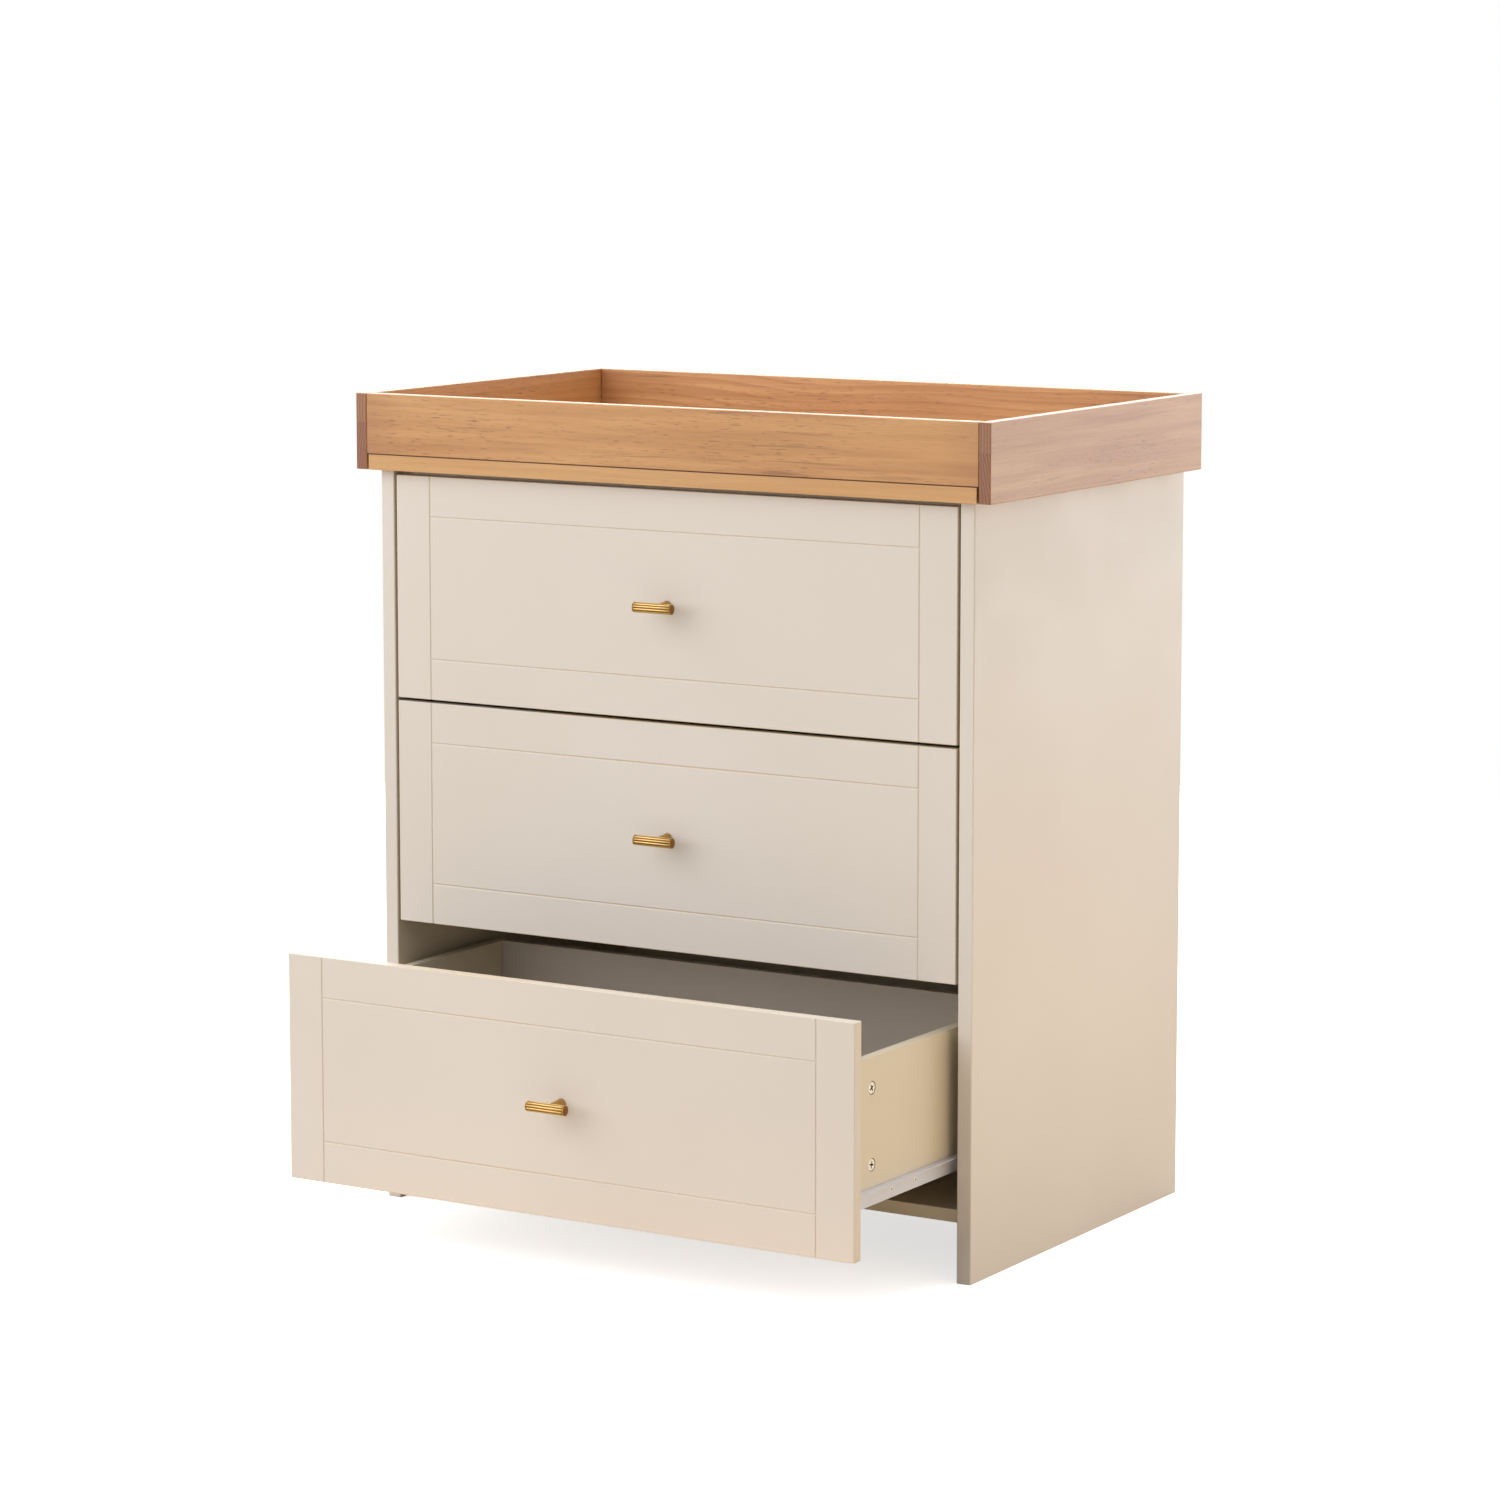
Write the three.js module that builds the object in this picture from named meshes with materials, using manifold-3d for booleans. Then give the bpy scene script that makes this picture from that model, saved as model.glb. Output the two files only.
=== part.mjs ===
// A changing table: a three-drawer chest with a lift-off changing tray on its wooden top.
// Millimetres, +Z up, front towards -Y. The bottom drawer is stored partly open.

import * as THREE from 'three';
import { mergeVertices } from 'three/addons/utils/BufferGeometryUtils.js';
import Module from 'manifold-3d';

const wasm = await Module();
wasm.setup();

// ---- Driving dimensions ----

// Carcass. In carcass coordinates Y = 0 is the side panels' front edge and Z = 0 is the floor.
const cabinetWidth = 800;
const cabinetDepth = 512;
const cabinetHeight = 878;
const sideThickness = 18;
const sideEdgeRadius = 1.5;
const bottomThickness = 15;
const bottomClearance = 64.5;
const shelfRecess = 18;
const backThickness = 3;
const backInset = 12;
const backGrooveDepth = 6;
const backGrooveSlack = 0.6;
const railThickness = 15;
const railDepth = 70;
const contactGap = 0.3;

// Wooden top and the changing tray that drops over it.
const topThickness = 18;
const topSideOverhang = 9;
const topFrontOverhang = 13;
const topRearSetback = 7;
const trayBoardThickness = 15;
const trayWallAboveTop = 72;
const traySideClearance = 2.4;

// Drawers: inset fronts with a V-groove that imitates a framed panel.
const drawerNames = ['top', 'middle', 'bottom'];
const drawerOpenings = { top: 0, middle: 0, bottom: 221.5 };
const frontThickness = 15;
const frontRecess = 0.3;
const frontSideGap = 3.5;
const frontGap = 3.8;
const gapUnderTop = 5.2;
const bottomEdgeShowing = 6.5;
const grooveInset = 48;
const grooveWidth = 2.4;
const grooveDepth = 1.3;

const boxSideClearance = 13;
const boxSideThickness = 12;
const boxBackThickness = 12;
const boxTopDrop = 48.2;
const boxBottomRise = 54.3;
const spaceBehindDrawers = 81.7;
const drawerBottomThickness = 4;
const drawerBottomRise = 10;
const drawerBottomGrooveDepth = 5;
const drawerBottomSlack = 0.6;

// Blind holes for the cam locks that pull each drawer side onto its front.
const camHoleRadius = 7.6;
const camHoleDepth = 10;
const camFromFront = 39.5;
const camBelowTop = 34;
const camAboveRunner = 25.5;

// Roller runners, pressed from steel sheet, with one roller on each member.
const sheetThickness = 1.2;
const drawerRunnerHeight = 17.5;
const drawerRunnerLip = 12;
const drawerFlangeClearance = 2;
const cabinetFlangeClearance = 1;
const runnerSetback = 2.5;
const rollerRadius = 8;
const rollerEdgeClearance = 1.1;
const rollerEndInset = 12;
const rollerClearance = 0.7;
const axleRadius = 2.5;
const axleClearance = 0.1;
const axleHeadRadius = 3.8;
const axleHeadThickness = 0.8;
const axleHeadCounterbore = 1.2;

// T-bar knob.
const barLength = 52;
const barRadius = 6;
const barStandoff = 30;
const barEdge = 0.8;
const postRadius = 4.2;
const postFootRadius = 5.8;
const postFootHeight = 1.2;
const postFlareHeight = 9;
const roundSegments = 32;

// ---- Values worked out from the driving dimensions ----

const innerHalfWidth = cabinetWidth / 2 - sideThickness;
const backFaceY = cabinetDepth - backInset - backThickness;
const topHalfWidth = cabinetWidth / 2 + topSideOverhang;
const topRearY = cabinetDepth - topRearSetback;
const trayInnerHalfWidth = topHalfWidth + traySideClearance;
const trayBaseZ = cabinetHeight + contactGap + topThickness;

const frontWidth = 2 * (innerHalfWidth - frontSideGap);
const lowestFrontZ = bottomClearance + bottomEdgeShowing;
const highestFrontZ = cabinetHeight - gapUnderTop;
const gapsBetweenFronts = (drawerNames.length - 1) * frontGap;
const frontHeight = (highestFrontZ - lowestFrontZ - gapsBetweenFronts) / drawerNames.length;
const frontBackY = frontRecess + frontThickness;

const boxHalfWidth = innerHalfWidth - boxSideClearance;
const boxInnerHalfWidth = boxHalfWidth - boxSideThickness;
const boxHeight = frontHeight - boxTopDrop - boxBottomRise;
const boxFrontY = frontBackY + contactGap;
const boxRearY = backFaceY - spaceBehindDrawers;
const boxBackInnerY = boxRearY - boxBackThickness;

// The lane is the free width between a cabinet runner's web and its drawer runner's web.
const laneWidth = boxSideClearance - 2 * (contactGap + sheetThickness);
const rollerWidth = laneWidth - contactGap - rollerEdgeClearance;
const drawerRunnerFlange = laneWidth - drawerFlangeClearance;
const cabinetRunnerFlange = laneWidth - cabinetFlangeClearance;

// Runner heights are measured from the lower edge of the drawer's sides.
const flangeTop = drawerRunnerHeight;
const flangeUnderside = flangeTop - sheetThickness;
const frontRollerHeight = flangeUnderside - contactGap - rollerRadius;
const channelRoof = flangeTop + rollerClearance;
const rearRollerHeight = channelRoof - rollerClearance - rollerRadius + contactGap;
const channelFloor = rearRollerHeight - rollerRadius - contactGap;
const frontRollerY = frontBackY + runnerSetback + rollerEndInset;
const rearRollerY = boxRearY - rollerEndInset;
const rollerReach = rollerRadius + 2 * rollerClearance;

// The stored object's outline along Y, from the open drawer's knob to the side panels' rear edges.
const furthestOpening = Math.max(...Object.values(drawerOpenings));
const outlineFrontY = Math.min(frontRecess - furthestOpening - barStandoff - barRadius, -topFrontOverhang);
const outlineRearY = Math.max(cabinetDepth, topRearY);
const centreY = (outlineFrontY + outlineRearY) / 2;

// ---- Materials ----

const material = (name, color, roughness, metalness) => {
  const made = new THREE.MeshStandardMaterial({ color, roughness, metalness });
  made.name = name;
  return made;
};
const creamPaint = material('cream_paint', 0xdfd3c3, 0.45, 0);
const oakTop = material('oak_top', 0xd9ab78, 0.5, 0);
const oakTray = material('oak_tray', 0xc99a6b, 0.5, 0);
const whiteBoard = material('white_board', 0xe8e2d8, 0.6, 0);
const runnerSteel = material('runner_steel', 0xd8d6d4, 0.4, 0.3);
const rollerPlastic = material('roller_plastic', 0xf0efec, 0.5, 0);
const brushedBrass = material('brushed_brass', 0xc89b46, 0.35, 1);

// ---- Geometry helpers ----

// A box between two corners, given as [low, high] on each axis.
function box([x0, x1], [y0, y1], [z0, z1]) {
  const geometry = new THREE.BoxGeometry(x1 - x0, y1 - y0, z1 - z0);
  return geometry.translate((x0 + x1) / 2, (y0 + y1) / 2, (z0 + z1) / 2);
}

// A cylinder along X between two X values.
function cylinderX(radius, [x0, x1], y, z) {
  const geometry = new THREE.CylinderGeometry(radius, radius, x1 - x0, roundSegments);
  return geometry.rotateZ(Math.PI / 2).translate((x0 + x1) / 2, y, z);
}

function toSolid(geometry) {
  const bare = geometry.clone();
  bare.deleteAttribute('normal');
  bare.deleteAttribute('uv');
  const merged = mergeVertices(bare, 1e-4);
  return new wasm.Manifold(new wasm.Mesh({
    numProp: 3,
    vertProperties: new Float32Array(merged.attributes.position.array),
    triVerts: new Uint32Array(merged.index.array),
  }));
}

function toGeometry(solid) {
  const mesh = solid.getMesh();
  const geometry = new THREE.BufferGeometry();
  geometry.setAttribute('position', new THREE.BufferAttribute(mesh.vertProperties, 3));
  geometry.setIndex(new THREE.BufferAttribute(mesh.triVerts, 1));
  geometry.computeVertexNormals();
  return geometry;
}

// Joins the first list of geometries and cuts the second list out of them.
function carve(joined, cut = []) {
  let solid = toSolid(joined[0]);
  for (const geometry of joined.slice(1)) {
    solid = solid.add(toSolid(geometry));
  }
  for (const geometry of cut) {
    solid = solid.subtract(toSolid(geometry));
  }
  return toGeometry(solid);
}

// An outline of [x, y] points, extruded from z0 to z1.
function prismZ(points, z0, z1) {
  const shape = new THREE.Shape(points.map(([x, y]) => new THREE.Vector2(x, y)));
  const geometry = new THREE.ExtrudeGeometry(shape, { depth: z1 - z0, bevelEnabled: false });
  return geometry.translate(0, 0, z0);
}

// Puts a span measured outwards from the centre line on the left (-1) or right (+1) side.
const onSide = (side, near, far) => (side > 0 ? [near, far] : [-far, -near]);
const sides = { left: -1, right: 1 };

function addMesh(parent, name, geometry, itsMaterial) {
  const mesh = new THREE.Mesh(geometry, itsMaterial);
  mesh.name = name;
  parent.add(mesh);
  return mesh;
}

// ---- Carcass ----

// A full-height side that is also the leg: eased front edges and a groove for the back panel.
function sidePanel(side) {
  const [x0, x1] = onSide(side, innerHalfWidth, cabinetWidth / 2);
  const outline = new THREE.Shape();
  outline.moveTo(x0, cabinetDepth);
  outline.lineTo(x0, sideEdgeRadius);
  outline.absarc(x0 + sideEdgeRadius, sideEdgeRadius, sideEdgeRadius, Math.PI, 1.5 * Math.PI, false);
  outline.lineTo(x1 - sideEdgeRadius, 0);
  outline.absarc(x1 - sideEdgeRadius, sideEdgeRadius, sideEdgeRadius, 1.5 * Math.PI, 2 * Math.PI, false);
  outline.lineTo(x1, cabinetDepth);
  const board = new THREE.ExtrudeGeometry(outline, {
    depth: cabinetHeight, bevelEnabled: false, curveSegments: 4,
  });
  const groove = box(
    onSide(side, innerHalfWidth - 1, innerHalfWidth + backGrooveDepth),
    [backFaceY - backGrooveSlack / 2, backFaceY + backThickness + backGrooveSlack / 2],
    [-1, cabinetHeight + 1],
  );
  return carve([board], [groove]);
}

function bottomPanel() {
  const halfWidth = innerHalfWidth - contactGap;
  return box(
    [-halfWidth, halfWidth],
    [shelfRecess, backFaceY - contactGap],
    [bottomClearance, bottomClearance + bottomThickness],
  );
}

function backPanel() {
  const halfWidth = innerHalfWidth + backGrooveDepth - contactGap;
  return box(
    [-halfWidth, halfWidth],
    [backFaceY, backFaceY + backThickness],
    [bottomClearance, cabinetHeight - contactGap],
  );
}

// A flat stretcher under the top; the top is screwed up through it.
function topRail(frontY) {
  const halfWidth = innerHalfWidth - contactGap;
  return box(
    [-halfWidth, halfWidth],
    [frontY, frontY + railDepth],
    [cabinetHeight - railThickness, cabinetHeight],
  );
}

function topPanel() {
  return box(
    [-topHalfWidth, topHalfWidth],
    [-topFrontOverhang, topRearY],
    [cabinetHeight + contactGap, trayBaseZ],
  );
}

// The cabinet member of a runner: a channel for the drawer's rear roller, with a roller in front.
function cabinetRunner(side, baseZ) {
  const webOuter = innerHalfWidth - contactGap;
  const webInner = webOuter - sheetThickness;
  const runnerFrontY = frontBackY + runnerSetback;
  const runnerRearY = boxRearY + runnerSetback;
  const channelFrontY = frontRollerY + rollerReach;
  const flangeX = onSide(side, webInner - cabinetRunnerFlange, webOuter);
  const web = box(
    onSide(side, webInner, webOuter),
    [runnerFrontY, runnerRearY],
    [baseZ + channelFloor - sheetThickness, baseZ + channelRoof + sheetThickness],
  );
  const floor = box(
    flangeX,
    [channelFrontY, runnerRearY],
    [baseZ + channelFloor - sheetThickness, baseZ + channelFloor],
  );
  const roof = box(
    flangeX,
    [channelFrontY, runnerRearY],
    [baseZ + channelRoof, baseZ + channelRoof + sheetThickness],
  );
  const rollerOuter = webInner - contactGap;
  const axle = rollerAxle(side, webInner, rollerOuter - rollerWidth, frontRollerY, baseZ + frontRollerHeight);
  return carve([web, floor, roof, ...axle]);
}

// The drawer member: a web on the drawer side, a lip under it and a flange that runs on the roller.
function drawerRunner(side, baseZ) {
  const webInner = boxHalfWidth + contactGap;
  const webOuter = webInner + sheetThickness;
  const runnerRearY = boxRearY;
  const web = box(
    onSide(side, webInner, webOuter),
    [boxFrontY, runnerRearY],
    [baseZ - contactGap - sheetThickness, baseZ + flangeTop],
  );
  const lip = box(
    onSide(side, webOuter - drawerRunnerLip, webOuter),
    [boxFrontY, runnerRearY],
    [baseZ - contactGap - sheetThickness, baseZ - contactGap],
  );
  const flange = box(
    onSide(side, webInner, webOuter + drawerRunnerFlange),
    [boxFrontY, rearRollerY - rollerReach],
    [baseZ + flangeUnderside, baseZ + flangeTop],
  );
  const rollerInner = webOuter + contactGap;
  const axle = rollerAxle(side, webOuter, rollerInner + rollerWidth, rearRollerY, baseZ + rearRollerHeight);
  return carve([web, lip, flange, ...axle]);
}

// A headed stud from a runner's web at `root` to the roller's free face at `tip`.
function rollerAxle(side, root, tip, y, z) {
  const outwards = Math.sign(tip - root);
  const headRoot = tip - outwards * axleHeadThickness;
  const buried = root - outwards * sheetThickness / 2;
  const shank = onSide(side, Math.min(buried, headRoot), Math.max(buried, headRoot));
  const head = onSide(side, Math.min(headRoot, tip), Math.max(headRoot, tip));
  return [cylinderX(axleRadius, shank, y, z), cylinderX(axleHeadRadius, head, y, z)];
}

// A plastic wheel with its bore and a counterbore for the stud's head. `root` is at the web.
function roller(side, root, tip, y, z) {
  const outwards = Math.sign(tip - root);
  const floor = tip - outwards * axleHeadCounterbore;
  const wheelSpan = onSide(side, Math.min(root, tip), Math.max(root, tip));
  const boreSpan = onSide(side, Math.min(root, tip) - 1, Math.max(root, tip) + 1);
  const sunk = onSide(side, Math.min(floor, tip + outwards), Math.max(floor, tip + outwards));
  const wheel = cylinderX(rollerRadius, wheelSpan, y, z);
  const bore = cylinderX(axleRadius + axleClearance, boreSpan, y, z);
  const counterbore = cylinderX(axleHeadRadius + contactGap, sunk, y, z);
  return carve([wheel], [bore, counterbore]);
}

function frontRoller(side, baseZ) {
  const root = innerHalfWidth - sheetThickness - 2 * contactGap;
  return roller(side, root, root - rollerWidth, frontRollerY, baseZ + frontRollerHeight);
}

function rearRoller(side, baseZ) {
  const root = boxHalfWidth + sheetThickness + 2 * contactGap;
  return roller(side, root, root + rollerWidth, rearRollerY, baseZ + rearRollerHeight);
}

// ---- Changing tray: four boards that drop over the top ----

function traySideBoard(side) {
  return box(
    onSide(side, trayInnerHalfWidth, trayInnerHalfWidth + trayBoardThickness),
    [-topFrontOverhang, topRearY],
    [cabinetHeight + contactGap, trayBaseZ + trayWallAboveTop],
  );
}

function trayCrossBoard(frontY) {
  const halfWidth = trayInnerHalfWidth - contactGap;
  return box(
    [-halfWidth, halfWidth],
    [frontY, frontY + trayBoardThickness],
    [trayBaseZ + contactGap, trayBaseZ + trayWallAboveTop],
  );
}

// ---- Drawers ----

// The drawer front, with two full-height V-grooves and two cross grooves between them.
function drawerFront(baseZ) {
  const halfWidth = frontWidth / 2;
  const topZ = baseZ + frontHeight;
  const board = box([-halfWidth, halfWidth], [frontRecess, frontBackY], [baseZ, topZ]);
  const halfGroove = grooveWidth / 2;
  const notch = [
    [-2 * halfGroove, -grooveDepth],
    [2 * halfGroove, -grooveDepth],
    [0, grooveDepth],
  ];
  const upright = halfWidth - grooveInset;
  const cuts = [-upright, upright].map((x) => {
    return prismZ(notch, baseZ - 1, topZ + 1).translate(x, frontRecess, 0);
  });
  for (const z of [baseZ + grooveInset, topZ - grooveInset]) {
    const cross = prismZ(notch, -upright, upright);
    cuts.push(cross.rotateY(Math.PI / 2).translate(0, frontRecess, z));
  }
  return carve([board], cuts);
}

function boxSide(side, baseZ) {
  const board = box(
    onSide(side, boxInnerHalfWidth, boxHalfWidth),
    [boxFrontY, boxRearY],
    [baseZ, baseZ + boxHeight],
  );
  const slotZ = baseZ + drawerBottomRise - drawerBottomSlack / 2;
  const slot = box(
    onSide(side, boxInnerHalfWidth - 1, boxInnerHalfWidth + drawerBottomGrooveDepth),
    [boxFrontY - 1, boxRearY + 1],
    [slotZ, slotZ + drawerBottomThickness + drawerBottomSlack],
  );
  const camSpan = onSide(side, boxHalfWidth - camHoleDepth, boxHalfWidth + 1);
  const camHeights = [boxHeight - camBelowTop, drawerRunnerHeight + camAboveRunner];
  const camHoles = camHeights.map((height) => {
    return cylinderX(camHoleRadius, camSpan, frontBackY + camFromFront, baseZ + height);
  });
  return carve([board], [slot, ...camHoles]);
}

function drawerBottom(baseZ) {
  const halfWidth = boxInnerHalfWidth + drawerBottomGrooveDepth - contactGap;
  const z = baseZ + drawerBottomRise;
  return box([-halfWidth, halfWidth], [boxFrontY, boxRearY], [z, z + drawerBottomThickness]);
}

// The back stands on the drawer bottom, which runs out under it.
function boxBack(baseZ) {
  const halfWidth = boxInnerHalfWidth - contactGap;
  const footZ = baseZ + drawerBottomRise + drawerBottomThickness + contactGap;
  return box([-halfWidth, halfWidth], [boxBackInnerY, boxRearY], [footZ, baseZ + boxHeight]);
}

// The knob's bar lies along X; its axis is at the origin.
function knobBar() {
  const half = barLength / 2;
  const inner = barRadius - barEdge;
  const profile = [
    [0, -half], [inner, -half], [barRadius, -half + barEdge],
    [barRadius, half - barEdge], [inner, half], [0, half],
  ];
  const points = profile.map(([r, along]) => new THREE.Vector2(r, along));
  return new THREE.LatheGeometry(points, roundSegments).rotateZ(Math.PI / 2);
}

// The knob's post stands on the drawer front and is hollowed at its end to seat the bar.
function knobPost() {
  const profile = [
    [0, contactGap],
    [postFootRadius, contactGap],
    [postFootRadius, postFootHeight],
    [postRadius, postFlareHeight],
    [postRadius, barStandoff],
    [0, barStandoff],
  ];
  const points = profile.map(([r, along]) => new THREE.Vector2(r, along));
  const turned = new THREE.LatheGeometry(points, roundSegments).rotateX(Math.PI);
  const seat = cylinderX(barRadius + contactGap, [-barLength, barLength], -barStandoff, 0);
  return carve([turned], [seat]);
}

function addDrawer(parent, name, frontZ) {
  const drawer = new THREE.Group();
  drawer.position.y = -drawerOpenings[name];
  parent.add(drawer);
  const baseZ = frontZ + boxBottomRise;
  addMesh(drawer, `${name}_drawer_front`, drawerFront(frontZ), creamPaint);
  addMesh(drawer, `${name}_drawer_bottom`, drawerBottom(baseZ), whiteBoard);
  addMesh(drawer, `${name}_drawer_back`, boxBack(baseZ), creamPaint);
  for (const [sideName, side] of Object.entries(sides)) {
    addMesh(drawer, `${name}_drawer_${sideName}_side`, boxSide(side, baseZ), creamPaint);
    addMesh(drawer, `${name}_${sideName}_drawer_runner`, drawerRunner(side, baseZ), runnerSteel);
    addMesh(drawer, `${name}_${sideName}_rear_roller`, rearRoller(side, baseZ), rollerPlastic);
  }
  const knobZ = frontZ + frontHeight / 2;
  const post = addMesh(drawer, `${name}_knob_post`, knobPost(), brushedBrass);
  post.position.set(0, frontRecess, knobZ);
  const bar = addMesh(drawer, `${name}_knob_bar`, knobBar(), brushedBrass);
  bar.position.set(0, frontRecess - barStandoff, knobZ);
}

// ---- Assembly ----

const changingTable = new THREE.Group();
changingTable.name = 'changing_table';
changingTable.position.y = -centreY;

addMesh(changingTable, 'bottom_panel', bottomPanel(), creamPaint);
addMesh(changingTable, 'back_panel', backPanel(), whiteBoard);
addMesh(changingTable, 'front_top_rail', topRail(frontBackY + runnerSetback), creamPaint);
addMesh(changingTable, 'rear_top_rail', topRail(backFaceY - contactGap - railDepth), creamPaint);
addMesh(changingTable, 'top_panel', topPanel(), oakTop);
addMesh(changingTable, 'tray_front_board', trayCrossBoard(-topFrontOverhang), oakTray);
addMesh(changingTable, 'tray_rear_board', trayCrossBoard(topRearY - trayBoardThickness), oakTray);

for (const [sideName, side] of Object.entries(sides)) {
  addMesh(changingTable, `${sideName}_side_panel`, sidePanel(side), creamPaint);
  addMesh(changingTable, `tray_${sideName}_board`, traySideBoard(side), oakTray);
}

drawerNames.forEach((name, index) => {
  const frontZ = highestFrontZ - (index + 1) * frontHeight - index * frontGap;
  const baseZ = frontZ + boxBottomRise;
  addDrawer(changingTable, name, frontZ);
  for (const [sideName, side] of Object.entries(sides)) {
    addMesh(changingTable, `${name}_${sideName}_cabinet_runner`, cabinetRunner(side, baseZ), runnerSteel);
    addMesh(changingTable, `${name}_${sideName}_front_roller`, frontRoller(side, baseZ), rollerPlastic);
  }
});

export default changingTable;
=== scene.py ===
"""A changing table: painted three-drawer chest with a wooden top and a lift-off tray."""

import math

import bmesh
import bpy
from mathutils import Matrix, Vector


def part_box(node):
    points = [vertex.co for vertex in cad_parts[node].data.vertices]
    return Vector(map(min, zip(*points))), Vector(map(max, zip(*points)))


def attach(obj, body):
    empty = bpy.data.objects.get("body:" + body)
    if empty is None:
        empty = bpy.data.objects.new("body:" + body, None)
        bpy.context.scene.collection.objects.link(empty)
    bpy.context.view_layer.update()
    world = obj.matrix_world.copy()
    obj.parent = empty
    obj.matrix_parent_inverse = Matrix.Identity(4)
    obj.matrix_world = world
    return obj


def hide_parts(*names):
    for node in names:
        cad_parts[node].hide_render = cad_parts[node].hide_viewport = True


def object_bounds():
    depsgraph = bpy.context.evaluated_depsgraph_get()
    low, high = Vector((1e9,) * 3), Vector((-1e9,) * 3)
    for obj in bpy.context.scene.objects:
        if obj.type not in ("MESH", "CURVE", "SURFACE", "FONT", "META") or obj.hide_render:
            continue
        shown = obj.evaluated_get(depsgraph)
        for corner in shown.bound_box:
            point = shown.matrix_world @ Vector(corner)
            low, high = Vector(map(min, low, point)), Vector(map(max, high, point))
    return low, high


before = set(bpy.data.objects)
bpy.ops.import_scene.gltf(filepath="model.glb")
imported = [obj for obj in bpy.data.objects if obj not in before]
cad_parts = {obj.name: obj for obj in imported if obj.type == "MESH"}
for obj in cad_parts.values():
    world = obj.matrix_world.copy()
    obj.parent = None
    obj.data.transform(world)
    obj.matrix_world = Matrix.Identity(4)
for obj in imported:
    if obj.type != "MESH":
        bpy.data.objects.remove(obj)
cad_low, cad_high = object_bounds()

MM = 0.001
DRAWERS = ("top", "middle", "bottom")
# Each side of the object, and which way it lies along X.
SIDES = {"left": -1, "right": 1}

# ---- Sizes of the details that are only modelled here ----

# How far edges are rounded.
PAINT_BEVEL = 0.6 * MM
FRONT_BEVEL = 1.0 * MM
GROOVE_BEVEL = 0.3 * MM
THIN_BOARD_BEVEL = 0.3 * MM
TOP_BEVEL = 0.6 * MM
TRAY_BEVEL = 1.1 * MM
STEEL_BEVEL = 0.25 * MM
ROLLER_BEVEL = 0.6 * MM

# Points of a CAD mesh that are closer than this become one.
WELD_DISTANCE = 0.002 * MM

# A knob's bar: its flutes, then the groove, smooth collar and domed face at each end.
FLUTES = 10
FLUTE_DEPTH = 0.95 * MM
FLUTE_EDGE = 0.3 * MM
FLUTE_SEGMENTS = 10
COLLAR_LENGTH = 1.3 * MM
COLLAR_EDGE = 0.35 * MM
COLLAR_GROOVE = 0.7 * MM
COLLAR_GROOVE_DEPTH = 1.1 * MM
COLLAR_GROOVE_SLANT = 0.1 * MM
END_DOME = 0.9 * MM

# A knob's post: from its foot on the drawer front to the saddle in the bar.
NECK_RADIUS = 4.2 * MM
FOOT_EDGE = 0.3 * MM
FOOT_HEIGHT = 1.0 * MM
POST_INTO_BAR = 0.4 * MM
POST_STEPS = 14
POST_SEGMENTS = 64

# Cam locks in the drawers' sides. A drive size is the reach of the cross from its middle.
CAM_RADIUS = 6.6 * MM
CAM_SUNK = 0.5 * MM
CAM_CHAMFER = 0.35 * MM
CAM_HEIGHT = 6.0 * MM
CAM_DRIVE = 4.2 * MM
CAM_DRIVE_DEPTH = 0.6 * CAM_DRIVE
CAM_FROM_FRONT = 39.5 * MM
CAM_BELOW_TOP = 34.0 * MM
CAM_ABOVE_RUNNER = 25.5 * MM

# Screws in the runners' webs, at these distances behind the drawer front.
RUNNER_SCREWS = (79 * MM, 132 * MM, 300 * MM)
RUNNER_WEB = 1.5 * MM
SCREW_RADIUS = 3.0 * MM
SCREW_PROUD = 0.6 * MM
SCREW_ROOT = 0.2 * MM
SCREW_DRIVE = 2.0 * MM
SCREW_DRIVE_DEPTH = 0.5 * SCREW_DRIVE

# The screw that holds a knob, inside the drawer front.
KNOB_SCREW_RADIUS = 4.5 * MM
KNOB_SCREW_PROUD = 2.2 * MM
KNOB_DRIVE = 2.4 * MM
KNOB_DRIVE_DEPTH = 0.6 * KNOB_DRIVE

# How far round the first cam and screw of a row are turned, and each one after them, in radians.
FIRST_CAM_TURN = 0.5
FIRST_SCREW_TURN = 0.3
NEXT_TURN = 0.9

# How many sides a screw's or cam's round head has.
HEAD_SIDES = 48

# A drive's arms, as shares of their reach, and how far the cut starts outside the head.
DRIVE_WIDTH = 0.22
DRIVE_TAPER = 0.45
DRIVE_OVERCUT = 0.05 * MM

# The tray's side boards are glued from two staves; the joint is this far below their top.
STAVE_JOINT = 34 * MM
UPPER_STAVE_RINGS = 4.2 * MM
LOWER_STAVE_RINGS = 3.6 * MM
RING_RIPPLE = 3.5 * MM
# A long board is paler over this length at each end.
PALE_END = 50 * MM
# Painted shadow of the gap reaches this far up and down from the joint between the tray and the
# top.
JOINT_SHADOW_REACH = 1.7 * MM

# ---- The studio ----

# Angles are in degrees: azimuth 0 is straight in front and 90 on the object's right.
CAMERA_AZIMUTH = 31.56
CAMERA_ELEVATION = 7.39
CAMERA_DISTANCE = 5.591
CAMERA_TARGET = (0.0, 0.0535, 0.658)
CAMERA_LENS = 114.15
CAMERA_SHIFT = -0.06
SENSOR_WIDTH = 36.0
CLIP_END = 100.0

LIGHT_TARGET = (0, 0, 0.5)
WARM_LIGHT = (1.0, 0.70, 0.38)
AMBER_LIGHT = (1.0, 0.55, 0.22)

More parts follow.
